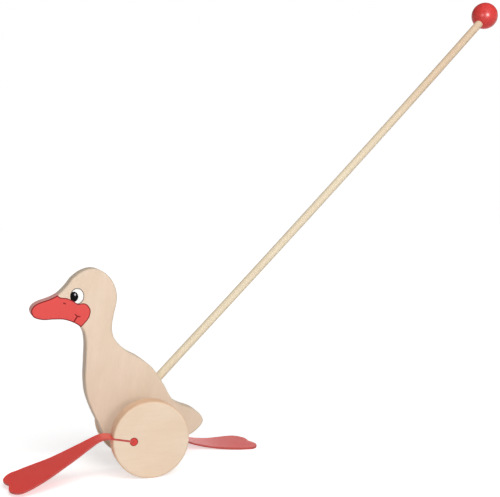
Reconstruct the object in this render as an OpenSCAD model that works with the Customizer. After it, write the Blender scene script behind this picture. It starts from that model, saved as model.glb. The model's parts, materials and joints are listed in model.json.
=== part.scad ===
// Push-along duck: a board cut to a duck's profile on two wheels, with flapping
// strap feet held in the wheels and a long push rod with a ball knob.
// The origin is on the floor under the middle of the axle, +X points to the tail,
// +Y to the duck's right side and +Z up. Lengths are in millimetres, angles in degrees.

/* [Duck board] */
// Thickness of the board
body_t = 22; // [16:0.5:24]
// Rounding along the edges of both faces
edge_r = 1.25; // [0.75:0.25:3]
// Thickness of the printed colour on the faces
print_t = 0.2; // [0.1:0.05:0.4]

/* [Wheels] */
// Diameter of the wheels
wheel_d = 80; // [72:1:92]
// Thickness of the wheels
wheel_t = 20; // [17:0.5:24]
// Width over the outer faces of both wheels
track_w = 114; // [108:1:130]
// Rounding of the rims
rim_r = 2.25; // [0.5:0.25:3]
// Turn of the right wheel on the axle against the left one
right_turn = 160.5; // [120:0.5:240]

/* [Axle] */
// Diameter of the axle
axle_d = 10; // [8:0.5:13]
// Depth of the blind axle holes in the wheels
axle_depth = 14; // [9:0.5:16]
// Outer diameter of the spacer sleeves
spacer_d = 18; // [16:0.5:26]
// Side play between each spacer and the board
side_play = 0.5; // [0.3:0.1:1.5]
// Radial running clearance of the axle in the board
run_gap = 0.08; // [0.02:0.01:0.1]
// Radial gap of glued joints
glue_gap = 0.04; // [0.02:0.01:0.1]

/* [Push rod] */
// Diameter of the rod
rod_d = 10; // [8:0.5:13]
// Length of the rod
rod_l = 622; // [400:0.5:800]
// Slope of the rod
rod_angle = 45.65; // [40:0.05:55]
// Distance of the rod's line from the axle
rod_off = 22.2; // [18:0.1:24]
// Start of the rod along its line, from the point nearest the axle
rod_start = 10; // [6:0.5:20]
// Diameter of the ball knob
knob_d = 30; // [26:0.5:45]
// Depth of the rod's hole in the knob
knob_depth = 18; // [10:0.5:22]
// Distance of the knob's middle above the rod's line
knob_off = 0; // [0:0.5:4]

/* [Feet] */
// Thickness of the strap
strap_t = 2; // [1.5:0.1:3]
// Length of the left blade, from its bend at the rim to the tip
left_foot_l = 115; // [90:0.5:130]
// Length of the right blade
right_foot_l = 109.5; // [90:0.5:130]
// Width of the fan at the toes
fan_w = 57.5; // [44:0.5:60]
// Depth of the notch between the toes
notch = 6; // [2:0.5:9]
// Drop from the inner toe back to the fan's side
inner_drop = 16.5; // [8:0.5:24]
// Drop from the outer toe back to the fan's side
outer_drop = 14.5; // [8:0.5:24]
// Lead of the inner side of the toes over the middle
toe_lead = 2.8; // [0:0.1:5]
// Room of the strap in its kerf, on each side
strap_fit = 0.05; // [0.02:0.01:0.1]
// Inset of the strap from the wheels' faces
neck_inset = 0.2; // [0.1:0.05:1]
// Length of strap that stands out of the rim before the bend
root_proud = 0.4; // [0.2:0.1:2]
// Gap between the root and the round end of the blade
flex_gap = 0.3; // [0.2:0.05:0.6]
// Twist of the left blade about its length
left_twist = -5; // [-10:0.5:10]
// Distance over which the twist builds up
twist_run = 24; // [10:1:40]
// Lean of the left blade's tip to the duck's left
left_lean = 4; // [0:0.5:10]
// Lean of the right blade's tip to the duck's left
right_lean = 6.5; // [0:0.5:8]

/* [Pegs] */
// Diameter of the pegs
peg_d = 8; // [6:0.5:10]
// Distance of the pegs from the wheels' middle
peg_r = 18.5; // [16:0.5:22]
// Depth of the pegs' ends below the wheels' faces
peg_sink = 0.1; // [0.05:0.05:0.5]
// Depth of the slot in a peg that grips the strap's end
peg_slot = 4; // [2:0.5:5]
// Lean of the kerf against the wheel's radius at the peg
kerf_lean = 12; // [0:1:25]

/* [Printed face] */
// Width of the eye white
eye_w = 14.5; // [10:0.5:17]
// Height of the eye white
eye_h = 17; // [12:0.5:19]
// Width of the pupil
pupil_w = 9; // [6:0.5:9.5]
// Height of the pupil
pupil_h = 10.5; // [7:0.5:11]
// Margin between the print and the rounded edge
print_margin = 0.2; // [0.1:0.05:1]

/* [Hidden] */

left = -1;
right = 1;
round_fn = 96;
cut = 1;

wood = [0.91, 0.82, 0.70];
red = [0.85, 0.24, 0.22];

// The duck's outline, in X and Z from the axle, clockwise from the lower chest
duck_outline = [
    [-48.6, 13.7], [-54.5, 27.2], [-59, 42.1], [-60.3, 58], [-59.5, 77], [-58.9, 97],
    [-61.6, 109.7], [-68.7, 116.8], [-80.4, 121.7], [-92, 122.6], [-102.9, 122.5],
    [-111.9, 125.4], [-115, 131.5], [-112.6, 137], [-106.8, 140.7], [-95.8, 144.3],
    [-87.2, 148.6], [-78.6, 156.7], [-71.7, 165.1], [-62.3, 171.8], [-51.5, 174.7],
    [-41.3, 171.8], [-31.9, 163.2], [-26.7, 151.9], [-25.9, 140], [-28.7, 127.1],
    [-31.1, 115], [-30.7, 105.4], [-26.6, 96.4], [-15.3, 85.6], [0.2, 76.1],
    [13.1, 64.7], [24.4, 47.2], [30.6, 35.2], [35.7, 28.6], [43.8, 23.4],
    [55.8, 18.6], [64.1, 12.7], [68.2, 5.4], [65.8, -0.7], [56.3, -8.6],
    [37.8, -16.5], [11.9, -23], [-13.9, -23.5], [-35.6, -11.7]];
outline_steps = 3;
edge_steps = 3;

// The border of the red beak and cheek on the face, from the forehead to the throat
beak_border = [
    [-87.3, 147.2], [-84.6, 145.4], [-78.9, 144.6], [-73.9, 142.6], [-70.3, 140.3],
    [-66.7, 138], [-63, 138.6], [-58.6, 137.8], [-55, 133.8], [-54, 129],
    [-56.5, 121.9], [-63.5, 114]];
// A box in front of the border that holds the whole beak
beak_front = [[-70, 105], [-130, 105], [-130, 155], [-92, 155]];
eye_at = [-67.7, 146.3];
pupil_at = [-71.2, 145.8];
ellipse_steps = 48;

// Shares of the foot's length, and of the growth from neck to fan reached there
fan_shares = [[0, 0], [0.12, 0], [0.21, 0.075], [0.35, 0.29], [0.53, 0.555],
    [0.70, 0.855], [0.81, 0.98], [0.88, 0.995], [1, 1]];
// Shares of the foot's length, and the strap's turn from the kerf's line there
left_bend = [[0, 0], [0.045, 15], [0.09, 29], [0.15, 40], [0.26, 40.5], [0.37, 39.5],
    [0.51, 38], [0.66, 33.5], [0.81, 31.5], [0.91, 23], [1, 15.5]];
right_bend = [[0, 0], [0.13, 5.5], [0.25, 11.4], [0.35, 17.2], [0.48, 22.6],
    [0.63, 28.9], [0.79, 31.4], [1, 30.6]];
foot_rows = 20;
foot_columns = 12;
strap_steps = 112;
// Place of the notch and its reach, in shares of the fan's half width, and how sharply it dips
notch_at = -0.07;
notch_share = 0.62;
notch_power = 1.5;
// Angles of the facets that round the blade's end at the bend
round_end = [20, 50];

axle_z = wheel_d / 2;
wheel_y = (track_w - wheel_t) / 2;
neck_w = wheel_t - 2 * neck_inset;
axle_half = track_w / 2 - wheel_t + axle_depth;
spacer_l = track_w / 2 - wheel_t - body_t / 2 - side_play;
knob_at = rod_start + rod_l + knob_d / 2 - knob_depth;
// Length of the kerf from the peg's middle to the rim, and on to the strap's bend
kerf_l = sqrt(pow(wheel_d / 2, 2) - pow(peg_r * sin(kerf_lean), 2)) - peg_r * cos(kerf_lean);
bend_at = kerf_l + root_proud + flex_gap + strap_t / 2;

// Point on a curve through p1 and p2, at t from 0 to 1
function curve_point(p0, p1, p2, p3, t) =
    0.5 * (2 * p1 + (p2 - p0) * t + (2 * p0 - 5 * p1 + 4 * p2 - p3) * t * t
        + (3 * p1 - p0 - 3 * p2 + p3) * t * t * t);

// Closed smooth curve through all points, with a number of steps between each two
function closed_curve(points, steps) =
    let (n = len(points))
    [for (i = [0 : n - 1], k = [0 : steps - 1])
        curve_point(points[(i + n - 1) % n], points[i], points[(i + 1) % n],
            points[(i + 2) % n], k / steps)];

// Open smooth curve through all points
function open_curve(points, steps) =
    let (n = len(points))
    [for (i = [0 : n - 2], k = [0 : i == n - 2 ? steps : steps - 1])
        curve_point(points[max(i - 1, 0)], points[i], points[i + 1],
            points[min(i + 2, n - 1)], k / steps)];

// Clockwise outline moved inwards by a distance
function inset_curve(points, distance) =
    let (n = len(points))
    [for (i = [0 : n - 1])
        let (along = points[(i + 1) % n] - points[(i + n - 1) % n])
        points[i] + [along[1], -along[0]] * distance / norm(along)];

function ellipse(middle, w, h) =
    [for (i = [0 : ellipse_steps - 1])
        let (a = 360 * i / ellipse_steps)
        middle + [w / 2 * cos(a), h / 2 * sin(a)]];

duck_curve = closed_curve(duck_outline, outline_steps);

// Triangles between ring a and ring b of n points each
function band(a, b, n) =
    [for (i = [0 : n - 1])
        let (j = (i + 1) % n)
        each [[a * n + i, b * n + i, b * n + j], [a * n + i, b * n + j, a * n + j]]];

// Twice the area of the triangle a, b, c: negative where it runs clockwise
function doubled_area(a, b, c) =
    (b[0] - a[0]) * (c[1] - a[1]) - (b[1] - a[1]) * (c[0] - a[0]);

// Whether a clockwise triangle holds the point p
function holds(a, b, c, p) =
    doubled_area(a, b, p) <= 0 && doubled_area(b, c, p) <= 0 && doubled_area(c, a, p) <= 0;

// Three numbers of a ring of point numbers, from the place i on
function corner_at(ring, i) = [for (k = [0 : 2]) ring[(i + k) % len(ring)]];

function is_in(value, list) = len([for (v = list) if (v == value) v]) > 0;

// Whether the corner at i of a clockwise outline can be cut off as a triangle
function is_ear(points, ring, i) =
    let (ear = corner_at(ring, i))
    let (a = points[ear[0]])
    let (b = points[ear[1]])
    let (c = points[ear[2]])
    doubled_area(a, b, c) < 0
        && len([for (q = ring) if (!is_in(q, ear) && holds(a, b, c, points[q])) q]) == 0;

function next_ear(points, ring, i) = is_ear(points, ring, i) ? i : next_ear(points, ring, i + 1);

// Triangles that fill a clockwise outline: its corners are cut off one by one
function filled(points, ring, i = 0) =
    len(ring) == 3 ? [ring]
    : let (place = next_ear(points, ring, i))
    let (ear = corner_at(ring, place))
    let (rest = [for (q = ring) if (q != ear[1]) q])
    concat([ear], filled(points, rest, (place + 1) % len(rest)));

// Cylinder along Y between two places
module bar_y(y0, y1, d)
    translate([0, y0, 0]) rotate([-90, 0, 0]) cylinder(h = y1 - y0, d = d, $fn = round_fn);

// Moves a piece from the XY plane to a place on the rod's line, or above the line
module on_rod_line(start, above = 0)
    translate([0, 0, axle_z]) rotate([0, 90 - rod_angle, 0])
        translate([-rod_off - above, 0, start]) children();

// Places a wheel's piece, drawn about the wheel's middle, on its side of the axle
module on_wheel(side)
    translate([0, side * wheel_y, axle_z])
        rotate([0, side == right ? -right_turn : 0, 0]) children();

// Moves a piece from the peg's middle, with the kerf along -X, into the wheel
module on_kerf()
    translate([-peg_r, 0, 0]) rotate([0, kerf_lean, 0]) children();

// The board with rounded edges: rings from the left face to the right one
module board() {
    n = len(duck_curve);
    left_rings = [for (k = [0 : edge_steps])
        let (a = 90 * k / edge_steps)
        [edge_r * (1 - sin(a)), -body_t / 2 + edge_r * (1 - cos(a))]];
    right_rings = [for (k = [edge_steps : -1 : 0]) [left_rings[k][0], -left_rings[k][1]]];
    rings = concat(left_rings, right_rings);
    points = [for (ring = rings) each
        [for (p = inset_curve(duck_curve, ring[0])) [p[0], ring[1], p[1] + axle_z]]];
    last = len(rings) - 1;
    bands = [for (r = [0 : last - 1]) each band(r, r + 1, n)];
    left_face = filled(inset_curve(duck_curve, edge_r), [for (i = [0 : n - 1]) i]);
    right_face = [for (f = left_face) [for (k = [2, 1, 0]) last * n + f[k]]];
    polyhedron(points, concat(bands, left_face, right_face));
}

module duck_body()
    color(wood) difference() {
        board();
        translate([0, 0, axle_z])
            bar_y(-body_t / 2 - cut, body_t / 2 + cut, axle_d + 2 * run_gap);
        on_rod_line(rod_start)
            cylinder(h = rod_l / 2, d = rod_d + 2 * glue_gap, $fn = round_fn);
    }

module push_rod()
    color(wood) on_rod_line(rod_start) cylinder(h = rod_l, d = rod_d, $fn = round_fn);

module knob()
    color(red) difference() {
        on_rod_line(knob_at, knob_off) sphere(d = knob_d, $fn = round_fn);
        on_rod_line(knob_at - knob_d)
            cylinder(h = knob_d / 2 + knob_depth, d = rod_d + 2 * glue_gap, $fn = round_fn);
    }

module axle()
    color(wood) translate([0, 0, axle_z]) bar_y(-axle_half, axle_half, axle_d);

// Disc with rounded rims about the Y axis
module disc() {
    corner = [for (k = [0 : edge_steps])
        let (a = 90 * k / edge_steps)
        [wheel_d / 2 - rim_r + rim_r * cos(a), wheel_t / 2 - rim_r + rim_r * sin(a)]];
    profile = concat([[0, -wheel_t / 2]],
        [for (k = [edge_steps : -1 : 0]) [corner[k][0], -corner[k][1]]],
        corner, [[0, wheel_t / 2]]);
    rotate([-90, 0, 0]) rotate_extrude($fn = round_fn) polygon(profile);
}

module wheel(side)
    color(wood) on_wheel(side) difference() {
        disc();
        // Blind hole for the axle, from the inner face
        translate([0, -side * (wheel_t / 2 - axle_depth), 0]) rotate([side * 90, 0, 0])
            cylinder(h = axle_depth + cut, d = axle_d + 2 * glue_gap, $fn = round_fn);
        on_kerf() {
            bar_y(-wheel_t / 2 - cut, wheel_t / 2 + cut, peg_d + 2 * glue_gap);
            translate([-wheel_d / 2, -wheel_t / 2 - cut, -strap_t / 2 - strap_fit])
                cube([wheel_d / 2, wheel_t + 2 * cut, strap_t + 2 * strap_fit]);
        }
    }

module spacer(side)
    color(wood) translate([0, side * (body_t / 2 + side_play + spacer_l / 2), axle_z])
        difference() {
            bar_y(-spacer_l / 2, spacer_l / 2, spacer_d);
            bar_y(-spacer_l / 2 - cut, spacer_l / 2 + cut, axle_d + 2 * glue_gap);
        }

module peg(side)
    color(red) on_wheel(side) on_kerf() difference() {
        bar_y(-wheel_t / 2 + peg_sink, wheel_t / 2 - peg_sink, peg_d);
        translate([-peg_d, -wheel_t / 2, -strap_t / 2 - strap_fit])
            cube([peg_d / 2 + peg_slot, wheel_t, strap_t + 2 * strap_fit]);
    }

module foot_root(side)
    color(red) on_wheel(side) on_kerf()
        translate([-kerf_l - root_proud, -neck_w / 2, -strap_t / 2])
            cube([kerf_l + root_proud - peg_d / 2 + peg_slot - strap_fit, neck_w, strap_t]);

// Half width of a foot of length l at a distance s from the bend
function half_width(s, l) =
    neck_w / 2 + (fan_w - neck_w) / 2 * lookup(max(s, 0) / l, fan_shares);

// Distance of the tip from the bend, at a share v of the half width towards the inner side
function tip(v, l) =
    l + toe_lead * v - (v > 0 ? inner_drop : outer_drop) * (1 - sqrt(1 - v * v))
        - notch * pow(max(0, 1 - abs(v - notch_at) / notch_share), notch_power);

// Heading of the strap in the XZ plane, at a share of its length
function heading(first, bend, share) = first + lookup(share, bend);

// Middle line of the strap: points one step apart, from the bend on
function strap_line(start, first, bend, step) =
    [for (i = 0, p = start; i <= strap_steps;
        a = heading(first, bend, (i + 0.5) / strap_steps),
        p = p + step * [cos(a), sin(a)], i = i + 1) p];

// Point of the middle line at a number of steps from the bend
function line_point(line, steps) =
    let (i = min(floor(max(steps, 0)), strap_steps - 1))
    line[i] + (line[i + 1] - line[i]) * (steps - i);

// Blade of a foot: a sheet with a round end on the bend's axis and a notched fan
module foot_blade(side, l, bend, twist, lean) {
    turn = side == right ? right_turn : 0;
    first = 180 - kerf_lean + turn;
    bend_x = -peg_r - bend_at * cos(kerf_lean);
    bend_z = bend_at * sin(kerf_lean);
    start = [bend_x * cos(turn) - bend_z * sin(turn),
        bend_x * sin(turn) + bend_z * cos(turn)];
    step = l / strap_steps;
    line = strap_line(start, first, bend, step);
    half_t = strap_t / 2;
    // Round end first, then the rows along the strap: place and half thickness
    ends = [for (a = round_end) [-half_t * cos(a), half_t * sin(a)]];
    rows = concat([for (e = ends) [0, e[0], e[1]]],
        [for (r = [0 : foot_rows]) [r / foot_rows, 0, half_t]]);
    shares = [for (j = [0 : foot_columns]) sin(180 * j / foot_columns - 90)];
    row_n = foot_columns + 1;
    sheet_n = len(rows) * row_n;
    points = [for (up = [1, -1], row = rows, v = shares)
        let (s = row[0] * tip(-side * v, l) + row[1])
        let (share = max(s, 0) / l)
        let (a = heading(first, bend, share))
        let (roll = twist * min(share * l / twist_run, 1))
        let (w = v * half_width(s, l))
        let (y = w * cos(roll) - up * row[2] * sin(roll) - lean * share * share)
        let (rise = w * sin(roll) + up * row[2] * cos(roll))
        let (p = line_point(line, s / step) + rise * [-sin(a), cos(a)])
        [p[0], y + side * wheel_y, p[1] + axle_z]];
    top = [for (r = [0 : len(rows) - 2], j = [0 : foot_columns - 1])
        let (q = r * row_n + j)
        each [[q, q + 1, q + row_n + 1], [q, q + row_n + 1, q + row_n]]];
    under = [for (f = top) [f[2] + sheet_n, f[1] + sheet_n, f[0] + sheet_n]];
    // The sheet's rim, in order round it, closed by a strip between the two sheets
    rim = concat([for (j = [0 : foot_columns - 1]) j],
        [for (r = [0 : len(rows) - 2]) r * row_n + foot_columns],
        [for (j = [foot_columns : -1 : 1]) (len(rows) - 1) * row_n + j],
        [for (r = [len(rows) - 1 : -1 : 1]) r * row_n]);
    strip = [for (i = [0 : len(rim) - 1])
        let (a = rim[i])
        let (b = rim[(i + 1) % len(rim)])
        each [[b, a, a + sheet_n], [b, a + sheet_n, b + sheet_n]]];
    color(red) polyhedron(points, concat(top, under, strip));
}

// Film of colour on one face of the board, at a number of films above it
module film(side, level)
    translate([0, side * (body_t / 2 + level * print_t) + (side == right ? print_t : 0), axle_z])
        rotate([90, 0, 0]) linear_extrude(print_t) children();

// The area in front of the border of the red
module before_border()
    polygon(concat(open_curve(beak_border, outline_steps), beak_front));

module beak_print(side)
    color(red) film(side, 0) intersection() {
        before_border();
        polygon(inset_curve(duck_curve, edge_r + print_margin));
    }

module eye_shape()
    difference() {
        polygon(ellipse(eye_at, eye_w, eye_h));
        before_border();
    }

module eye_white(side)
    color("white") film(side, 0) eye_shape();

module pupil(side)
    color("black") film(side, 1) intersection() {
        polygon(ellipse(pupil_at, pupil_w, pupil_h));
        eye_shape();
    }

duck_body();
push_rod();
knob();
axle();
wheel(left);  // left_wheel
wheel(right);  // right_wheel
spacer(left);  // left_spacer
spacer(right);  // right_spacer
peg(left);  // left_peg
peg(right);  // right_peg
foot_root(left);  // left_foot_root
foot_root(right);  // right_foot_root
foot_blade(left, left_foot_l, left_bend, left_twist, left_lean);  // left_foot_blade
foot_blade(right, right_foot_l, right_bend, 0, right_lean);  // right_foot_blade
beak_print(left);  // left_beak_print
beak_print(right);  // right_beak_print
eye_white(left);  // left_eye_white
eye_white(right);  // right_eye_white
pupil(left);  // left_pupil
pupil(right);  // right_pupil
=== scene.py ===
import json
import math

import bmesh
import bpy
import numpy as np
from mathutils import Matrix, Vector
from mathutils.geometry import delaunay_2d_cdt


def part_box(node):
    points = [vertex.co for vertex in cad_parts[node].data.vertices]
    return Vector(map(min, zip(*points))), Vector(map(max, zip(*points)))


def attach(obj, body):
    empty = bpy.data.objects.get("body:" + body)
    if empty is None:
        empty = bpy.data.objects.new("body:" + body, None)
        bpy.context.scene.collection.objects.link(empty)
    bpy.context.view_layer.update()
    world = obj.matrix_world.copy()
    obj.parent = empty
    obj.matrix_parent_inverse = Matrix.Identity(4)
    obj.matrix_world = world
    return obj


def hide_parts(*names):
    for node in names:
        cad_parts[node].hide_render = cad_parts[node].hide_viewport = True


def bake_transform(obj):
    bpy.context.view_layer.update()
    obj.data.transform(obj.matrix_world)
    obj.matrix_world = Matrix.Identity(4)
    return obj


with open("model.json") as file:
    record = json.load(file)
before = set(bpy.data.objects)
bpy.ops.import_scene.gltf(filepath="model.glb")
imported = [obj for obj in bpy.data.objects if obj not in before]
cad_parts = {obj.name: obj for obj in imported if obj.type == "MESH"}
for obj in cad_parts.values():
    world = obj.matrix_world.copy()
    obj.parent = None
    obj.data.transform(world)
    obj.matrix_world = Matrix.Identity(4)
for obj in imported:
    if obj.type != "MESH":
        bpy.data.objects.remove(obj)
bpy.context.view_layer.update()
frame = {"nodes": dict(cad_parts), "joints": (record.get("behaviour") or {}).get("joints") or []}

scene = bpy.context.scene

# Places taken from the frame, in metres
JOINTS = {joint["name"]: joint for joint in frame["joints"]}
AXLE_Z = JOINTS["wheelset_spin"]["pos_m"][2]
HALF_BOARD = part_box("duck_body")[1].y
MM = 0.001
# Sides of the toy along Y
SIDES = {"left": -1, "right": 1}

# Outline of the duck in millimetres, in X and Z from the axle, clockwise from the lower chest
DUCK_OUTLINE = [
    (-48.6, 13.7), (-54.5, 27.2), (-59, 42.1), (-60.3, 58), (-59.5, 77), (-58.9, 97),
    (-61.6, 109.7), (-68.7, 116.8), (-80.4, 121.7), (-92, 122.6), (-102.9, 122.5),
    (-111.9, 125.4), (-115, 131.5), (-112.6, 137), (-106.8, 140.7), (-95.8, 144.3),
    (-87.2, 148.6), (-78.6, 156.7), (-71.7, 165.1), (-62.3, 171.8), (-51.5, 174.7),
    (-41.3, 171.8), (-31.9, 163.2), (-26.7, 151.9), (-25.9, 140), (-28.7, 127.1),
    (-31.1, 115), (-30.7, 105.4), (-26.6, 96.4), (-15.3, 85.6), (0.2, 76.1),
    (13.1, 64.7), (24.4, 47.2), (30.6, 35.2), (35.7, 28.6), (43.8, 23.4),
    (55.8, 18.6), (64.1, 12.7), (68.2, 5.4), (65.8, -0.7), (56.3, -8.6),
    (37.8, -16.5), (11.9, -23), (-13.9, -23.5), (-35.6, -11.7)]
OUTLINE_STEPS = 8
EDGE_R = 2
EDGE_STEPS = 6
# Flat band inside the rounded edge that keeps the faces' shading flat
FLAT_BAND = 0.4
BORE_R = 5.08
BORE_POINTS = 64

# Border of the red beak and cheek, from above the forehead to below the throat
BEAK_BORDER = [
    (-90.3, 151), (-87.3, 147.2), (-84.6, 145.4), (-78.9, 144.6), (-73.9, 142.6),
    (-70.3, 140.3), (-66.7, 138), (-63, 138.6), (-58.6, 137.8), (-55, 133.8),
    (-54, 129), (-56.5, 121.9), (-63.5, 114), (-67, 110)]
BEAK_FRONT = [(-75, 100), (-130, 100), (-130, 160), (-95, 158)]
BEAK_MARGIN = 0.3
BEAK_LINE = 0.95
# Shares of the rounded edge at which the beak's paint has points to bend at
FOLD_SHARES = (0.5, 0.75, 1)
EYE_AT = (-67.7, 146.3)
EYE_SIZE = (14.5, 17)
EYE_LINE = 0.95
PUPIL_AT = (-71.2, 145.8)
PUPIL_SIZE = (9, 10.5)
GLINT_AT = (-69.9, 148)
GLINT_SIZE = (2, 2.2)
ELLIPSE_POINTS = 72
# Painted strokes on the beak: points and greatest width
STROKES = {
    "nostril": ([(-82.3, 139.7), (-80.8, 139.2), (-79.4, 138.5)], 1.2),
    "mouth": ([(-71.6, 118.4), (-70, 122), (-67.7, 125.2)], 1.4),
    "mouth_corner": ([(-70.3, 127.6), (-67.8, 125.2), (-64.6, 124.8)], 1.2)}
# Steps between a stroke's points, the power of its taper and the square of its width's share at the ends
STROKE_STEPS = 6
STROKE_POWER = 4
STROKE_END = 0.1
# Heights of the paint above the wood, in millimetres
PAINT_LOW = -0.05
PAINT = 0.2
PAINT_TOP = 0.3
GLINT_TOP = 0.35

# How far each wheel is turned, and how far its kerf leans, in degrees
RIGHT_TURN = 160.5
WHEEL_TURNS = {"left": 0, "right": RIGHT_TURN}
KERF_LEAN = 12

# Feet in millimetres: what both have alike, with the sides mirrored
STRAP_T = 2
STRAP_CUT_R = 0.3
NECK_W = 19.6
FAN_W = 57.5
ROOT_L = 23.2
TWIST_RUN = 24
# Notch between the toes: its middle and reach as shares of the half width, and the power of its sides
NOTCH_AT = -0.07
NOTCH_SHARE = 0.62
NOTCH_POWER = 1.5
# How far the toes' round corners reach back from the tip
INNER_DROP = 16.5
OUTER_DROP = 14.5
# Shares of the length, and the shares of the widening from neck to fan that are reached there
FAN_SHARES = [
    (0, 0), (0.12, 0), (0.21, 0.075), (0.35, 0.29), (0.53, 0.555), (0.70, 0.855),
    (0.81, 0.98), (0.88, 0.995), (1, 1)]
# What differs between the feet: side, first heading, length, twist, lean to -Y, toes and bends, which
# are shares of the length with the degrees turned from the first heading
FEET = {
    "left_foot": {
        "side": SIDES["left"], "heading": 180 - KERF_LEAN, "length": 115, "twist": -5, "lean": 4,
        "toe_lead": 2.8, "notch": 6,
        "bend": [(0, 0), (0.045, 15), (0.09, 29), (0.15, 40), (0.26, 40.5), (0.37, 39.5),
                 (0.51, 38), (0.66, 33.5), (0.81, 31.5), (0.91, 23), (1, 15.5)]},
    "right_foot": {
        "side": SIDES["right"], "heading": 180 - KERF_LEAN + RIGHT_TURN, "length": 109.5, "twist": 0,
        "lean": 6.5, "toe_lead": 4, "notch": 4.5,
        "bend": [(0, 0), (0.13, 5.5), (0.25, 11.4), (0.35, 17.2), (0.48, 22.6), (0.63, 28.9),
                 (0.79, 31.4), (1, 30.6)]}}
ROOT_ROWS = 8
FOOT_ROWS = 72
FOOT_COLUMNS = 32
BEND_STEPS = 460

# Rod and ball in millimetres along, above and beside the rod's line; the dowel is slightly bowed
ROD_ANGLE = 45.65
ROD_OFF = 22.2
ROD_R = 4.6
ROD_RUN = (10, 625)
ROD_BOW = 1.85
BOW_RUN = (75, 629)
BOW_ENDS = (0.45, -0.5)
ROD_ROWS = 60
ROD_COLUMNS = 32
BALL_R = 15.5
BALL_AT = (630.6, -0.3, 3.5)
BALL_ROWS = 32
BALL_COLUMNS = 64

# Dark line between a peg and its hole, painted shade of the gap between them, in millimetres and degrees
# from the kerf
PEG_R = 18.5
PEG_LINE = (3.6, 4.35)
PEG_LINE_OPEN = 22
PEG_LINE_POINTS = 48
PEG_LINE_T = 0.05

# Camera of the photograph, whose frame is 500 by 497 pixels, in metres and degrees
FRAME_W = 500
FOCAL_PX = 938.19
SENSOR = 36
CLIP_START = 0.01
CAMERA_AT = (-0.21214, -0.98779, 0.29660)
CAMERA_YAW = 18.8935
CAMERA_PITCH = 3.5605
CAMERA_ROLL = 0.074

# Light of the surroundings, and the heights between which the white sweep fades to the ceiling
AMBIENT = 0.19
CEILING = 0.1
SWEEP_TOP = 0.22
SWEEP_END = 0.29

# Floor: half its width, its shade, its glow near the object and far off, and the distances, in metres
FLOOR_HALF = 6
FLOOR_SHADE = 0.8
FLOOR_GLOW = (0.6, 0.87)
GLOW_RUN = (0.45, 1.5)

# Places that the lamps are aimed at
MIDDLE = (0, 0, 0.15)
LOW_MIDDLE = (0.05, 0, 0.1)

# Noise in the wood, in cells per metre along and across the grain, and how much it shows
WOOD_CLOUDS = (26, 60, 60)
WOOD_STREAKS = 9
WOOD_FIBRES = (60, 900, 900)
WOOD_FLECKS = (160, 1500, 1500)
FLECK_LEVELS = (0.6, 0.75)
STREAK_SHARE = 0.4
FIBRE_SHARE = 0.2
FLECK_SHARE = 0.25
WOOD_ROUGHNESS = (0.5, 0.62)
WOOD_BUMP = 0.00001
WOOD_GLOSS = 0.15
# How square to the sides the wood's rounded edges start and end to look like its faces; on the board the
# edge colour there is painted shade, on the wheels it is the tread's own
BOARD_ROUNDING = (0.94, 0.999)
WHEEL_ROUNDING = (0.45, 0.95)
# Where the beak's paint starts to cover the board's edge and covers it, in metres, and how
STAIN_RUN = (-0.084, -0.09)
STAIN_CELLS = (300, 300, 300)
STAIN_SHARES = (0.6, 0.9)
# Stretch along the rod's line, in metres, over which it turns darker towards its upper end, and how
DARK_END_RUN = (0.4, 0.6)
DARK_END_CELLS = (30, 200, 200)
DARK_END_SHARES = (0.7, 1)

# Grain under the lacquer, its turn in degrees, its share and the spread of roughness
LACQUER_CELLS = (60, 700, 700)
LACQUER_TURN = -45
LACQUER_SHARE = 0.5
LACQUER_SPREAD = 0.06

# Fibres and clouds in the paint
PAINT_FIBRES = (45, 900, 900)
PAINT_CLOUDS = (90, 90, 90)
PAINT_TURN = 90
PAINT_SHARE = 0.5
PAINT_ROUGHNESS = (0.45, 0.55)
PAINT_BUMP = 0.00003
PAINT_GLOSS = 0.15
DARK_GLOSS = 0.05

# Pebbles and clouds on the straps
STRAP_PEBBLES = (1300, 1300, 1300)
STRAP_CLOUDS = (60, 60, 60)
PEBBLE_SHARE = 0.45
STRAP_CLOUD_SHARE = 0.4
STRAP_SPREAD = 0.1
STRAP_BUMP = 0.00005
STRAP_GLOSS = 0.5

# Angle above which an edge looks sharp, and small numbers for joining corners and safe division
SHARP = math.radians(35)
WELD = 1e-6
TINY = 1e-9


# Curves and areas in the duck's plane

def smooth_curve(points, steps, closed=False):
    """Smooth curve through all points, with a number of steps between each two."""
    points = np.array(points, float)
    ends = (points[-1:], points[:2]) if closed else (points[:1], points[-1:])
    padded = np.vstack([ends[0], points, ends[1]])
    t = (np.arange(steps) / steps)[:, None]
    spans = []
    for p0, p1, p2, p3 in zip(padded, padded[1:], padded[2:], padded[3:]):
        spans.append(0.5 * (2 * p1 + (p2 - p0) * t + (2 * p0 - 5 * p1 + 4 * p2 - p3) * t ** 2
                            + (3 * p1 - p0 - 3 * p2 + p3) * t ** 3))
    curve = np.vstack(spans)
    return curve if closed else np.vstack([curve, points[-1:]])


def inset(loop, distance):
    """Clockwise loop moved inwards."""
    along = np.roll(loop, -1, 0) - np.roll(loop, 1, 0)
    inward = np.c_[along[:, 1], -along[:, 0]] / np.linalg.norm(along, axis=1)[:, None]
    return loop + inward * distance


def ellipse(middle, size):
    """Clockwise ellipse of a width and height."""
    a = -np.linspace(0, 2 * np.pi, ELLIPSE_POINTS, endpoint=False)
    return np.array(middle) + np.c_[np.cos(a) * size[0], np.sin(a) * size[1]] / 2


def stroke(points, width):
    """Loop round a brush stroke that tapers at both ends."""
    line = smooth_curve(points, STROKE_STEPS)
    along = np.gradient(line, axis=0)
    across = np.c_[-along[:, 1], along[:, 0]] / np.linalg.norm(along, axis=1)[:, None]
    share = np.linspace(-1, 1, len(line))
    half = width / 2 * np.sqrt(np.clip(1 - share ** STROKE_POWER, STROKE_END, 1))
    offset = across * half[:, None]
    return np.vstack([line + offset, (line - offset)[::-1]])


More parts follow.
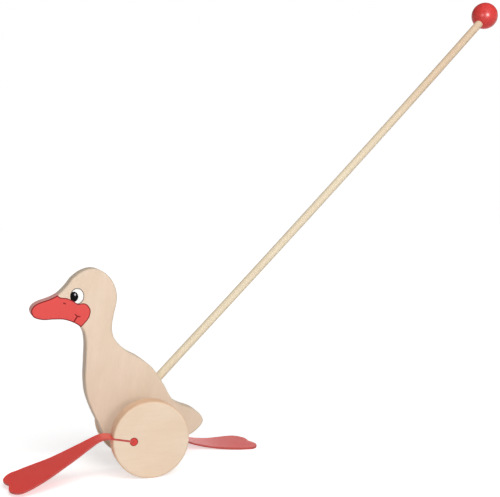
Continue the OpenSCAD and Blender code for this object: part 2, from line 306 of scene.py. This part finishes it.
def inside(points, loop):
    """Which points lie inside a closed loop."""
    x, z = points[:, :1], points[:, 1:]
    x0, z0 = loop.T
    x1, z1 = np.roll(loop, -1, 0).T
    spans = (z0 > z) != (z1 > z)
    rise = np.where(z1 == z0, 1, z1 - z0)
    return (spans & (x < x0 + (z - z0) * (x1 - x0) / rise)).sum(1) % 2 == 1


def area(loops, keep):
    """Triangles between the loops whose middles keep() accepts, with their corner points."""
    edges = []
    first = 0
    for loop in loops:
        count = len(loop)
        edges += [(first + i, first + (i + 1) % count) for i in range(count)]
        first += count
    corners = [Vector(p) for p in np.vstack(loops)]
    corners, _, triangles, *_ = delaunay_2d_cdt(corners, edges, [], 0, WELD)
    corners, triangles = np.array(corners), np.array(triangles)
    triangles = triangles[keep(corners[triangles].mean(1))]
    used, places = np.unique(triangles, return_inverse=True)
    return corners[used], places.reshape(-1, 3)


DUCK_LOOP = smooth_curve(DUCK_OUTLINE, OUTLINE_STEPS, closed=True)
BORDER_LOOP = np.vstack([smooth_curve(BEAK_BORDER, OUTLINE_STEPS), BEAK_FRONT])


def edge_distance(points):
    """Distance of points inside the duck's outline from it, and the way out."""
    along = np.roll(DUCK_LOOP, -1, 0) - DUCK_LOOP
    offset = points[:, None] - DUCK_LOOP
    t = np.clip((offset * along).sum(2) / (along ** 2).sum(1), 0, 1)
    apart = offset - along * t[:, :, None]
    distance = np.linalg.norm(apart, axis=2)
    nearest = distance.argmin(1)
    rows = np.arange(len(points))
    way = -apart[rows, nearest] / np.maximum(distance[rows, nearest], TINY)[:, None]
    return distance[rows, nearest], way


def on_face(points, lift, side):
    """Places in metres on a face of the board and its rounded edge, lifted off the wood."""
    distance, way = edge_distance(points)
    lean = np.clip((EDGE_R - distance) / EDGE_R, 0, 1)
    rise = np.sqrt(1 - lean ** 2)
    flat = points + way * (lean * lift)[:, None]
    y = HALF_BOARD / MM - EDGE_R + (EDGE_R + lift) * rise
    return np.c_[flat[:, 0], side * y, flat[:, 1] + AXLE_Z / MM] * MM


# Meshes

def make_piece(name, points, faces, material):
    """New object with smooth shading that breaks at sharp edges."""
    mesh = bpy.data.meshes.new(name)
    mesh.from_pydata([tuple(p) for p in points], [], [tuple(int(i) for i in f) for f in faces])
    work = bmesh.new()
    work.from_mesh(mesh)
    bmesh.ops.recalc_face_normals(work, faces=work.faces)
    work.to_mesh(mesh)
    work.free()
    mesh.polygons.foreach_set("use_smooth", [True] * len(mesh.polygons))
    mesh.set_sharp_from_angle(angle=SHARP)
    mesh.materials.append(material)
    piece = bpy.data.objects.new(name, mesh)
    scene.collection.objects.link(piece)
    return piece


def band(first, second):
    """Four-cornered faces between two closed rings of vertex numbers."""
    rows = zip(first, np.roll(first, -1), np.roll(second, -1), second)
    return [tuple(row) for row in rows]


def make_board(material):
    """The duck's board with rounded edges and the axle's bore."""
    turn = np.linspace(0, math.pi / 2, EDGE_STEPS + 1)
    half = HALF_BOARD / MM
    rings = [(EDGE_R + FLAT_BAND, -half)]
    rings += [(EDGE_R * (1 - math.sin(a)), -half + EDGE_R * (1 - math.cos(a))) for a in turn]
    rings += [(distance, -y) for distance, y in rings[::-1]]
    a = np.linspace(0, 2 * np.pi, BORE_POINTS, endpoint=False)
    bore = np.c_[np.cos(a), np.sin(a)] * BORE_R
    loop = inset(DUCK_LOOP, rings[0][0])
    corners, triangles = area([loop, bore], lambda m: inside(m, loop) & ~inside(m, bore))
    count = len(DUCK_LOOP)
    points = np.vstack([np.c_[inset(DUCK_LOOP, d), np.full(count, y)] for d, y in rings])
    faces = []
    for r in range(len(rings) - 1):
        faces += band(np.arange(count) + r * count, np.arange(count) + (r + 1) * count)
    # Both flat faces use the points of the first or last ring and of the bore, found by their place
    known = np.vstack([loop, bore])
    hole = []
    for ring, y in ((0, -half), (len(rings) - 1, half)):
        hole.append(np.arange(BORE_POINTS) + len(points))
        points = np.vstack([points, np.c_[bore, np.full(BORE_POINTS, y)]])
        numbers = np.r_[np.arange(count) + ring * count, hole[-1]]
        match = np.array([numbers[((known - c) ** 2).sum(1).argmin()] for c in corners])
        faces += [tuple(match[t]) for t in triangles]
    faces += band(hole[0], hole[1])
    places = np.c_[points[:, 0], points[:, 2], points[:, 1] + AXLE_Z / MM] * MM
    board = make_piece("duck_board", places, faces, material)
    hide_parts("duck_body")
    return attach(board, "duck")


def make_film(name, side, loops, keep, heights, material, node=None):
    """Thin layer of paint on one face of the board, between two heights above the wood."""
    corners, triangles = area(loops, keep)
    count = len(corners)
    points = np.vstack([on_face(corners, height, side) for height in heights])
    edges = np.vstack([triangles[:, [0, 1]], triangles[:, [1, 2]], triangles[:, [2, 0]]])
    _, first, uses = np.unique(np.sort(edges, 1), axis=0, return_index=True, return_counts=True)
    rim = edges[first[uses == 1]]
    faces = [tuple(t) for t in triangles[:, ::-1]] + [tuple(t) for t in triangles + count]
    faces += [(a, b, b + count, a + count) for a, b in rim]
    film = make_piece(name, points, faces, material)
    if node:
        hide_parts(node)
    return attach(film, "duck")


def paint_face(name, side, paints):
    """Beak, eye and painted strokes on one face."""
    outer = inset(DUCK_LOOP, BEAK_MARGIN)
    inner = inset(DUCK_LOOP, BEAK_MARGIN + BEAK_LINE)
    border = inset(BORDER_LOOP, BEAK_LINE)
    folds = [inset(DUCK_LOOP, EDGE_R * share) for share in FOLD_SHARES]
    eye = ellipse(EYE_AT, EYE_SIZE)
    eye_inner = inset(eye, EYE_LINE)
    pupil = ellipse(PUPIL_AT, PUPIL_SIZE)
    glint = ellipse(GLINT_AT, GLINT_SIZE)

    def in_beak(m):
        return inside(m, outer) & inside(m, BORDER_LOOP)

    def in_red(m):
        return inside(m, inner) & inside(m, border)

    def in_eye(m):
        return inside(m, eye) & ~inside(m, BORDER_LOOP)

    low = (PAINT_LOW, PAINT)
    high = (PAINT, PAINT_TOP)
    films = [
        ("beak_red", [inner, border, *folds], in_red, low, "print_red", "beak_print"),
        ("beak_line", [outer, inner, border, BORDER_LOOP, *folds],
         lambda m: in_beak(m) & ~in_red(m), low, "print_line", None),
        ("eye_paint", [eye_inner, BORDER_LOOP],
         lambda m: in_eye(m) & inside(m, eye_inner), low, "print_white", "eye_white"),
        ("eye_line", [eye, eye_inner, BORDER_LOOP],
         lambda m: in_eye(m) & ~inside(m, eye_inner), low, "print_grey", None),
        ("pupil_paint", [pupil, eye, BORDER_LOOP],
         lambda m: in_eye(m) & inside(m, pupil), high, "print_black", "pupil"),
        ("glint", [glint], lambda m: inside(m, glint), (PAINT_TOP, GLINT_TOP), "print_glint", None)]
    for mark, (points, width) in STROKES.items():
        loop = stroke(points, width)
        films.append((mark, [loop], lambda m, loop=loop: inside(m, loop), high, "print_line", None))
    for part, loops, keep, heights, colour, node in films:
        film = make_film(f"{name}_{part}", side, loops, keep, heights, paints[colour],
                         node and f"{name}_{node}")


# Feet

def smooth_lookup(table, values):
    """Smooth curve through a table of places and heights, without overshoot."""
    x, y = np.array(table, float).T
    slope = np.diff(y) / np.diff(x)
    before, after = slope[:-1], slope[1:]
    between = np.where(after * before > 0, 2 * after * before / (after + before + TINY), 0)
    tangent = np.r_[slope[0], between, slope[-1]]
    values = np.clip(values, x[0], x[-1])
    i = np.clip(np.searchsorted(x, values) - 1, 0, len(x) - 2)
    step = x[i + 1] - x[i]
    t = (values - x[i]) / step
    return ((1 + 2 * t) * (1 - t) ** 2 * y[i] + t * (1 - t) ** 2 * step * tangent[i]
            + t ** 2 * (3 - 2 * t) * y[i + 1] + t ** 2 * (t - 1) * step * tangent[i + 1])


def foot_grid(foot):
    """Places along and across the flat strap, as rows from the root to the toes."""
    share = np.sin(np.linspace(-math.pi / 2, math.pi / 2, FOOT_COLUMNS + 1))
    inner = -foot["side"] * share
    dip = foot["notch"] * np.clip(1 - np.abs(inner - NOTCH_AT) / NOTCH_SHARE, 0, 1) ** NOTCH_POWER
    drop = np.where(inner > 0, INNER_DROP, OUTER_DROP) * (1 - np.sqrt(np.clip(1 - share ** 2, 0, 1)))
    tip = foot["length"] + foot["toe_lead"] * inner - drop - dip
    root = np.linspace(-ROOT_L, 0, ROOT_ROWS, endpoint=False)
    rows = np.sin(np.linspace(0, math.pi / 2, FOOT_ROWS + 1))
    along = np.vstack([np.repeat(root[:, None], len(share), 1), rows[:, None] * tip])
    growth = smooth_lookup(FAN_SHARES, along / foot["length"])
    half = NECK_W / 2 + (FAN_W - NECK_W) / 2 * growth
    return along, half * share


def foot_surface(foot, hinge, along, across, height):
    """Places in metres of points along, across and above a bent strap."""
    length, heading = foot["length"], foot["heading"]
    shares, turns = np.array(foot["bend"]).T
    fine = np.linspace(0, length, BEND_STEPS + 1)
    middle = (fine[1:] + fine[:-1]) / 2
    angle = np.radians(heading + np.interp(middle / length, shares, turns))
    line_x = np.r_[0, np.cumsum(np.cos(angle))] * length / BEND_STEPS
    line_z = np.r_[0, np.cumsum(np.sin(angle))] * length / BEND_STEPS
    # The root goes straight back from the bend, and the toes straight on from the table's end
    s = np.clip(along, 0, length)
    beyond = along - s
    a = np.radians(heading + np.interp(s / length, shares, turns))
    roll = math.radians(foot["twist"]) * np.clip(s / TWIST_RUN, 0, 1)
    y = across * np.cos(roll) - height * np.sin(roll) - foot["lean"] * (s / length) ** 2
    rise = across * np.sin(roll) + height * np.cos(roll)
    x = np.interp(s, fine, line_x) + beyond * np.cos(a) - rise * np.sin(a)
    z = np.interp(s, fine, line_z) + beyond * np.sin(a) + rise * np.cos(a)
    return np.array(hinge) + np.stack([x, y, z], -1) * MM


def make_foot(name, face, cut):
    """One strap: its root in the wheel's kerf and the webbed foot outside, with cut edges."""
    foot = FEET[name]
    hinge = JOINTS[f"{name}_flex"]["pos_m"]
    along, across = foot_grid(foot)
    rows, columns = along.shape
    numbers = np.arange(rows * columns).reshape(rows, columns)
    rim = np.r_[numbers[0, :-1], numbers[:-1, -1], numbers[-1, :0:-1], numbers[:0:-1, 0]]
    flat = np.c_[across.ravel(), along.ravel()]
    edge = flat[rim]
    flat[rim] = inset(edge[::-1], STRAP_CUT_R)[::-1]
    half = STRAP_T / 2
    layers = [(flat, half), (flat, -half), (edge, half - STRAP_CUT_R), (edge, STRAP_CUT_R - half)]
    points = np.vstack([foot_surface(foot, hinge, p[:, 1], p[:, 0], h) for p, h in layers])
    count = rows * columns
    quads = np.stack([numbers[:-1, :-1], numbers[:-1, 1:], numbers[1:, 1:], numbers[1:, :-1]], -1)
    quads = quads.reshape(-1, 4)
    faces = [tuple(q) for q in quads] + [tuple(q) for q in quads[:, ::-1] + count]
    sheets = len(faces)
    upper = np.arange(len(rim)) + 2 * count
    lower = upper + len(rim)
    faces += band(rim, upper) + band(upper, lower) + band(lower, rim + count)
    strap_piece = make_piece(f"{name}_strap", points, faces, face)
    strap_piece.data.materials.append(cut)
    for polygon in strap_piece.data.polygons[sheets:]:
        polygon.material_index = 1
    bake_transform(strap_piece)
    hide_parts(f"{name}_root", f"{name}_blade")


def make_peg_line(name, side, turn, material):
    """Dark line round a peg on the wheel's face, painted shade of the gap round it, open where the strap
    comes in.
    """
    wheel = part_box(f"{name}_wheel")
    face = wheel[0].y if side < 0 else wheel[1].y
    a = np.linspace(PEG_LINE_OPEN, 360 - PEG_LINE_OPEN, PEG_LINE_POINTS)
    a = np.radians(a + 180 - KERF_LEAN)
    flat = np.vstack([np.c_[np.cos(a), np.sin(a)] * r - (PEG_R, 0) for r in PEG_LINE]) * MM
    c, s = math.cos(math.radians(turn)), math.sin(math.radians(turn))
    x, z = flat[:, 0] * c - flat[:, 1] * s, flat[:, 0] * s + flat[:, 1] * c
    lift = side * PEG_LINE_T * MM
    points = np.vstack([np.c_[x, np.full(len(x), y), z + AXLE_Z] for y in (face - lift, face + lift)])
    inner, count = np.arange(PEG_LINE_POINTS), len(x)
    loop = np.r_[inner, inner[::-1] + PEG_LINE_POINTS]
    faces = [(i, i + 1, i + 1 + PEG_LINE_POINTS, i + PEG_LINE_POINTS) for i in inner[:-1]]
    faces += [tuple(np.array(f[::-1]) + count) for f in faces]
    faces += band(loop, loop + count)
    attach(make_piece(f"{name}_peg_line", points, faces, material), "wheelset")


# Rod and ball

def on_rod(along, above, side):
    """Places in metres along, above and beside the rod's straight line."""
    c, s = math.cos(math.radians(ROD_ANGLE)), math.sin(math.radians(ROD_ANGLE))
    lift = ROD_OFF + above
    return np.stack([along * c - lift * s, side, along * s + lift * c + AXLE_Z / MM], -1) * MM


def make_turned(name, along, above, side, radius, columns, material):
    """Closed round piece from rings along the rod's line."""
    a = np.linspace(0, 2 * np.pi, columns, endpoint=False)
    points = np.vstack([on_rod(np.full(columns, s), h + r * np.cos(a), side + r * np.sin(a))
                        for s, h, r in zip(along, above, radius)])
    rings = np.arange(len(points)).reshape(-1, columns)
    faces = [face for ring, following in zip(rings, rings[1:]) for face in band(ring, following)]
    faces += [tuple(rings[0]), tuple(rings[-1])]
    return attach(make_piece(name, points, faces, material), "duck")


def make_rod(material):
    """The push rod with its slight bow."""
    along = np.linspace(*ROD_RUN, ROD_ROWS + 1)
    t = np.clip((along - BOW_RUN[0]) / (BOW_RUN[1] - BOW_RUN[0]), 0, 1)
    above = np.interp(along, BOW_RUN, BOW_ENDS) - 4 * ROD_BOW * t * (1 - t)
    rod = make_turned("bowed_rod", along, above, 0, np.full(len(along), ROD_R), ROD_COLUMNS, material)
    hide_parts("push_rod")


def make_ball(material):
    """The ball on the rod's upper end."""
    a = np.linspace(0, math.pi, BALL_ROWS + 1)[1:-1]
    ball = make_turned("rod_ball", BALL_AT[0] - BALL_R * np.cos(a), np.full(len(a), BALL_AT[1]),
                       BALL_AT[2], BALL_R * np.sin(a), BALL_COLUMNS, material)
    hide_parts("knob")
    return ball


# Materials

def linear(red, green, blue):
    """Colour for a shader from the 0 to 255 values that it shows on a screen."""
    shares = [value / 255 for value in (red, green, blue)]
    return (*[s / 12.92 if s <= 0.04045 else ((s + 0.055) / 1.055) ** 2.4 for s in shares], 1)


class Tree:
    """Short way to add and link the nodes of a material or world."""

    # Places of the colour sockets on a mix node
    MIX_SHARE, MIX_FIRST, MIX_SECOND, MIX_RESULT = 0, 6, 7, 2

    def __init__(self, owner):
        owner.use_nodes = True
        self.owner = owner
        self.nodes = owner.node_tree.nodes
        self.links = owner.node_tree.links
        self.nodes.clear()

    def add(self, kind, inputs, **settings):
        """New node with settings, and with inputs that are linked or set."""
        node = self.nodes.new(kind)
        for key, value in settings.items():
            setattr(node, key, value)
        for key, value in inputs.items():
            if isinstance(value, bpy.types.NodeSocket):
                self.links.new(value, node.inputs[key])
            else:
                node.inputs[key].default_value = value
        return node

    def coords(self, kind="Object"):
        """Texture coordinates of a kind, by default places in the piece's own frame."""
        return self.add("ShaderNodeTexCoord", {}).outputs[kind]

    def axis(self, vector, name):
        """One coordinate of a vector."""
        return self.add("ShaderNodeSeparateXYZ", {"Vector": vector}).outputs[name]

    def math(self, operation, first, second=0):
        """Result of an operation on one or two values."""
        return self.add("ShaderNodeMath", {0: first, 1: second}, operation=operation).outputs[0]

    def place(self, turn=(0, 0, 0)):
        """Coordinates in the piece's own frame, turned so that X runs along the grain."""
        return self.add("ShaderNodeMapping", {"Vector": self.coords(), "Rotation": turn}).outputs[0]

    def noise(self, place, scale, detail=2, levels=(0.3, 0.7)):
        """Noise stretched by a scale along each axis, from 0 to 1 between two levels."""
        stretched = self.add("ShaderNodeMapping", {"Vector": place, "Scale": scale}).outputs[0]
        noise = self.add("ShaderNodeTexNoise", {"Vector": stretched, "Scale": 1, "Detail": detail})
        return self.share(noise.outputs["Fac"], levels)

    def share(self, value, run, curve="LINEAR"):
        """0 to 1 for a value that goes from one end of a run to the other."""
        return self.add("ShaderNodeMapRange", {"Value": value, "From Min": run[0], "From Max": run[1]},
                        interpolation_type=curve).outputs["Result"]

    def span(self, share, low, high):
        """Value between low and high for a share from 0 to 1."""
        node = self.add("ShaderNodeMapRange", {"Value": share, "To Min": low, "To Max": high})
        return node.outputs["Result"]

    def mix(self, share, first, second):
        """Colour between two for a share from 0 to 1."""
        sockets = {self.MIX_SHARE: share, self.MIX_FIRST: first, self.MIX_SECOND: second}
        return self.add("ShaderNodeMix", sockets, data_type="RGBA").outputs[self.MIX_RESULT]

    def bump(self, height, distance):
        """Normal of a surface that is raised by a height from 0 to 1 times a distance."""
        return self.add("ShaderNodeBump", {"Height": height, "Distance": distance,
                                           "Strength": 1}).outputs["Normal"]

    def across_board(self, rounding):
        """1 on faces square to Y and 0 on the edges round them, with a change along the rounding."""
        size = self.math("ABSOLUTE", self.axis(self.coords("Normal"), "Y"))
        return self.share(size, rounding, "SMOOTHSTEP")

    def stained(self, facing):
        """Share of the beak's paint that has run over the board's edge."""
        coords = self.coords()
        front = self.share(self.axis(coords, "X"), STAIN_RUN)
        run = self.span(self.noise(coords, STAIN_CELLS), *STAIN_SHARES)
        return self.math("MULTIPLY", self.math("MULTIPLY", front, run), self.math("SUBTRACT", 1, facing))

    def towards_end(self, place):
        """Share that grows towards the rod's upper end, in patches."""
        grown = self.share(self.axis(place, "X"), DARK_END_RUN, "SMOOTHSTEP")
        patches = self.span(self.noise(place, DARK_END_CELLS), *DARK_END_SHARES)
        return self.math("MULTIPLY", grown, patches)

    def seen_in_mirror(self):
        """1 for rays that come from a mirror or through glass, and 0 for others."""
        path = self.add("ShaderNodeLightPath", {}).outputs
        return self.math("MAXIMUM", path["Is Glossy Ray"], path["Is Transmission Ray"])

    def seen_by_camera(self):
        """1 for rays from the camera, and 0 for others."""
        return self.add("ShaderNodeLightPath", {}).outputs["Is Camera Ray"]

    def finish(self, **inputs):
        """Principled surface from inputs named with _ for spaces."""
        named = {key.replace("_", " "): value for key, value in inputs.items()}
        surface = self.add("ShaderNodeBsdfPrincipled", named)
        self.add("ShaderNodeOutputMaterial", {"Surface": surface.outputs[0]})
        return self.owner


def new_material(name):
    """Tree of a new material."""
    return Tree(bpy.data.materials.new(name))


def wood(name, pale, deep, fleck, turn, lines, edge=None, rounding=None, stain=None, dark_end=None):
    """Sanded pale wood whose fibres run along X once turned, with more colours where asked: a darker edge
    colour that is painted shade on the board and the tread's own colour on the wheels, a stain, and a
    darker upper end on the rod.

    The turn is in degrees, and lines is the number of streaks per metre across the grain.
    """
    tree = new_material(name)
    place = tree.place([math.radians(angle) for angle in turn])
    clouds = tree.noise(place, WOOD_CLOUDS, detail=3)
    streaks = tree.noise(place, (WOOD_STREAKS, lines, lines), detail=3)
    fibres = tree.noise(place, WOOD_FIBRES)
    flecks = tree.noise(place, WOOD_FLECKS, detail=1, levels=FLECK_LEVELS)
    colour = tree.mix(clouds, pale, deep)
    colour = tree.mix(tree.span(streaks, 0, STREAK_SHARE), colour, deep)
    colour = tree.mix(tree.span(fibres, 0, FIBRE_SHARE), colour, fleck)
    colour = tree.mix(tree.span(flecks, 0, FLECK_SHARE), colour, fleck)
    # Edge colour on the rounded edges: painted shade on the board, the tread's own colour on the wheels
    if edge:
        facing = tree.across_board(rounding)
        colour = tree.mix(facing, edge, colour)
        if stain:
            colour = tree.mix(tree.stained(facing), colour, stain)
    # Darker towards the rod's upper end, in patches
    if dark_end:
        colour = tree.mix(tree.towards_end(place), colour, dark_end)
    return tree.finish(Base_Color=colour, Roughness=tree.span(streaks, *WOOD_ROUGHNESS),
                       Normal=tree.bump(fibres, WOOD_BUMP), Specular_IOR_Level=WOOD_GLOSS)


def lacquer(name, colour, deep, roughness, gloss):
    """Red lacquer on turned wood, with a faint grain below it."""
    tree = new_material(name)
    place = tree.place((0, math.radians(LACQUER_TURN), 0))
    grain = tree.noise(place, LACQUER_CELLS, detail=3)
    return tree.finish(Base_Color=tree.mix(tree.span(grain, 0, LACQUER_SHARE), colour, deep),
                       Roughness=tree.span(grain, roughness, roughness + LACQUER_SPREAD),
                       Specular_IOR_Level=gloss)


def paint(name, colour, deep, gloss=PAINT_GLOSS):
    """Thin paint that lets the board's fibres show."""
    tree = new_material(name)
    place = tree.place((0, math.radians(PAINT_TURN), 0))
    fibres = tree.noise(place, PAINT_FIBRES, detail=3)
    clouds = tree.noise(place, PAINT_CLOUDS)
    shade = tree.mix(tree.span(fibres, 0, PAINT_SHARE), colour, deep)
    shade = tree.mix(tree.span(clouds, 0, PAINT_SHARE), shade, colour)
    return tree.finish(Base_Color=shade, Roughness=tree.span(fibres, *PAINT_ROUGHNESS),
                       Normal=tree.bump(fibres, PAINT_BUMP), Specular_IOR_Level=gloss)


def strap(name, colour, deep, roughness):
    """Flexible strap with a fine pebbled grain."""
    tree = new_material(name)
    place = tree.place()
    pebbles = tree.noise(place, STRAP_PEBBLES)
    clouds = tree.noise(place, STRAP_CLOUDS, detail=3)
    shade = tree.mix(tree.span(pebbles, 0, PEBBLE_SHARE), colour, deep)
    shade = tree.mix(tree.span(clouds, 0, STRAP_CLOUD_SHARE), shade, deep)
    return tree.finish(Base_Color=shade,
                       Roughness=tree.span(pebbles, roughness, roughness + STRAP_SPREAD),
                       Normal=tree.bump(pebbles, STRAP_BUMP), Specular_IOR_Level=STRAP_GLOSS)


# Stage

def make_camera():
    """Camera at the photograph's place."""
    data = bpy.data.cameras.new("camera")
    data.sensor_fit = "HORIZONTAL"
    data.sensor_width = SENSOR
    data.lens = SENSOR * FOCAL_PX / FRAME_W
    data.clip_start = CLIP_START
    yaw, pitch, roll = (math.radians(a) for a in (CAMERA_YAW, CAMERA_PITCH, CAMERA_ROLL))
    ahead = math.cos(pitch)
    forward = Vector((math.sin(yaw) * ahead, math.cos(yaw) * ahead, -math.sin(pitch)))
    level = forward.cross(Vector((0, 0, 1))).normalized()
    upright = level.cross(forward)
    right = level * math.cos(roll) + upright * math.sin(roll)
    up = upright * math.cos(roll) - level * math.sin(roll)
    facing = Matrix((right, up, -forward)).transposed()
    camera = bpy.data.objects.new("camera", data)
    camera.matrix_world = Matrix.Translation(CAMERA_AT) @ facing.to_4x4()
    scene.collection.objects.link(camera)
    scene.camera = camera


def make_floor():
    """Plain pale floor that looks white and keeps the object's soft shadow."""
    tree = new_material("floor_white")
    tree.owner.cycles.emission_sampling = "NONE"
    diffuse = tree.add("ShaderNodeBsdfDiffuse", {"Color": (FLOOR_SHADE, FLOOR_SHADE, FLOOR_SHADE, 1)})
    away = tree.add("ShaderNodeVectorMath", {0: tree.coords()}, operation="LENGTH").outputs["Value"]
    level = tree.span(tree.share(away, GLOW_RUN), *FLOOR_GLOW)
    seen = tree.math("MAXIMUM", tree.seen_by_camera(), tree.seen_in_mirror())
    strength = tree.math("MULTIPLY", level, seen)
    glow = tree.add("ShaderNodeEmission", {"Color": (1, 1, 1, 1), "Strength": strength})
    both = tree.add("ShaderNodeAddShader", {0: diffuse.outputs[0], 1: glow.outputs[0]})
    tree.add("ShaderNodeOutputMaterial", {"Surface": both.outputs[0]})
    corners = [(x * FLOOR_HALF, y * FLOOR_HALF, 0) for x, y in ((-1, -1), (1, -1), (1, 1), (-1, 1))]
    mesh = bpy.data.meshes.new("floor")
    mesh.from_pydata(corners, [], [(0, 1, 2, 3)])
    mesh.materials.append(tree.owner)
    floor = bpy.data.objects.new("floor", mesh)
    scene.collection.objects.link(floor)


def make_light(name, at, aim, size, power, only=None, shine=False):
    """Square softbox for all pieces or only some, or one that only shows in their gloss."""
    data = bpy.data.lights.new(name, "AREA")
    data.size = size
    data.energy = power
    light = bpy.data.objects.new(name, data)
    light.location = at
    light.rotation_mode = "QUATERNION"
    light.rotation_quaternion = (Vector(aim) - Vector(at)).to_track_quat("-Z", "Y")
    light.visible_camera = False
    light.visible_diffuse = not shine
    light.visible_glossy = shine
    scene.collection.objects.link(light)
    if only:
        receivers = bpy.data.collections.new(f"{name}_receivers")
        for piece in only:
            receivers.objects.link(piece)
        light.light_linking.receiver_collection = receivers


def make_world():
    """White sweep behind the object, below a dim ceiling that lights it softly."""
    world = bpy.data.worlds.new("studio")
    world.cycles.sampling_method = "NONE"
    scene.world = world
    tree = Tree(world)
    height = tree.axis(tree.coords("Generated"), "Z")
    sweep = tree.span(tree.share(height, (SWEEP_TOP, SWEEP_END)), 1, CEILING)
    mirrored = tree.span(tree.seen_in_mirror(), AMBIENT, sweep)
    level = tree.math("MAXIMUM", mirrored, tree.seen_by_camera())
    background = tree.add("ShaderNodeBackground", {"Color": (1, 1, 1, 1), "Strength": level})
    tree.add("ShaderNodeOutputWorld", {"Surface": background.outputs[0]})


scene.view_settings.view_transform = "Standard"
make_camera()
make_world()
make_floor()
make_light("high", at=(0.3, -1.55, 1.95), aim=MIDDLE, size=1.6, power=36)
make_light("key_right", at=(0.18, -1.5, 0.35), aim=MIDDLE, size=0.4, power=4.5)
make_light("key_left", at=(-0.8, -0.87, 0.35), aim=MIDDLE, size=0.22, power=1.5)

# Pale, deep and fleck colours of each wood, and the colours of its edges and marks
BOARD_COLOURS = linear(237, 216, 196), linear(229, 206, 183), linear(220, 193, 168)
# Darker colour of the board's edges: painted shade on its rounded edges
BOARD_EDGE_SHADE = linear(222, 202, 180)
BOARD_STAIN = linear(240, 158, 156)
WHEEL_COLOURS = linear(239, 218, 195), linear(232, 208, 183), linear(224, 196, 169)
WHEEL_TREAD = linear(243, 203, 169)
DOWEL_COLOURS = linear(236, 222, 195), linear(231, 214, 186), linear(228, 209, 180)
# Darker colour towards the rod's upper end
DOWEL_DARK_END = linear(221, 194, 165)

board_wood = wood("board_wood_grain", *BOARD_COLOURS, turn=(0, 80, 0), lines=150,
                  edge=BOARD_EDGE_SHADE, rounding=BOARD_ROUNDING, stain=BOARD_STAIN)
wheel_wood = wood("wheel_wood_grain", *WHEEL_COLOURS, turn=(0, 0, 0), lines=420,
                  edge=WHEEL_TREAD, rounding=WHEEL_ROUNDING)
right_wheel_wood = wood("right_wheel_wood_grain", *WHEEL_COLOURS, turn=(0, RIGHT_TURN, 0), lines=420,
                        edge=WHEEL_TREAD, rounding=WHEEL_ROUNDING)
rod_wood = wood("rod_wood_grain", *DOWEL_COLOURS, turn=(0, ROD_ANGLE, 0), lines=300,
                dark_end=DOWEL_DARK_END)
axle_wood = wood("axle_wood_grain", *DOWEL_COLOURS, turn=(0, 0, -90), lines=300)
knob_red = lacquer("knob_lacquer", linear(224, 70, 66), linear(210, 54, 52), roughness=0.28, gloss=0.2)
peg_red = lacquer("peg_stain", linear(222, 78, 72), linear(205, 62, 58), roughness=0.4, gloss=0.1)
foot_red = strap("foot_strap", linear(250, 75, 66), linear(241, 66, 58), roughness=0.17)
foot_cut = strap("foot_cut_edge", linear(200, 86, 79), linear(182, 74, 68), roughness=0.5)
paints = {
    "print_red": paint("beak_paint", linear(228, 87, 83), linear(218, 79, 76)),
    "print_line": paint("line_paint", linear(138, 32, 38), linear(118, 26, 32)),
    # Painted shade of the gap round each peg
    "peg_line": paint("peg_line_stain", linear(150, 52, 46), linear(132, 44, 38)),
    "print_white": paint("white_paint", linear(252, 252, 250), linear(244, 243, 240)),
    "print_grey": paint("grey_paint", linear(140, 130, 122), linear(120, 112, 104)),
    "print_black": paint("black_paint", linear(14, 14, 14), linear(6, 6, 6), DARK_GLOSS),
    "print_glint": paint("glint_paint", linear(190, 190, 195), linear(170, 170, 175))}

CAD_FINISH = {
    "axle": axle_wood, "left_wheel": wheel_wood, "right_wheel": right_wheel_wood,
    "left_spacer": axle_wood, "right_spacer": axle_wood, "left_peg": peg_red, "right_peg": peg_red}
for node, material in CAD_FINISH.items():
    slots = frame["nodes"][node].data.materials
    slots.clear()
    slots.append(material)

make_board(board_wood)
make_rod(rod_wood)
ball = make_ball(knob_red)
for name, side in SIDES.items():
    paint_face(name, side, paints)
for name, side in SIDES.items():
    make_peg_line(name, side, WHEEL_TURNS[name], paints["peg_line"])
for name in FEET:
    make_foot(name, foot_red, foot_cut)

# Lamps that show only in the ball's gloss, and one from behind that leaves the floor alone
make_light("shine_right", at=(0.24, -1.5, 0.47), aim=MIDDLE, size=0.4, power=60, only=[ball], shine=True)
make_light("shine_left", at=(-0.74, -0.95, 0.45), aim=MIDDLE, size=0.3, power=12, only=[ball], shine=True)
pieces = [piece for piece in scene.objects if piece.type == "MESH" and piece.name != "floor"]
make_light("back", at=(0.75, 1.9, 0.16), aim=LOW_MIDDLE, size=0.3, power=14, only=pieces)
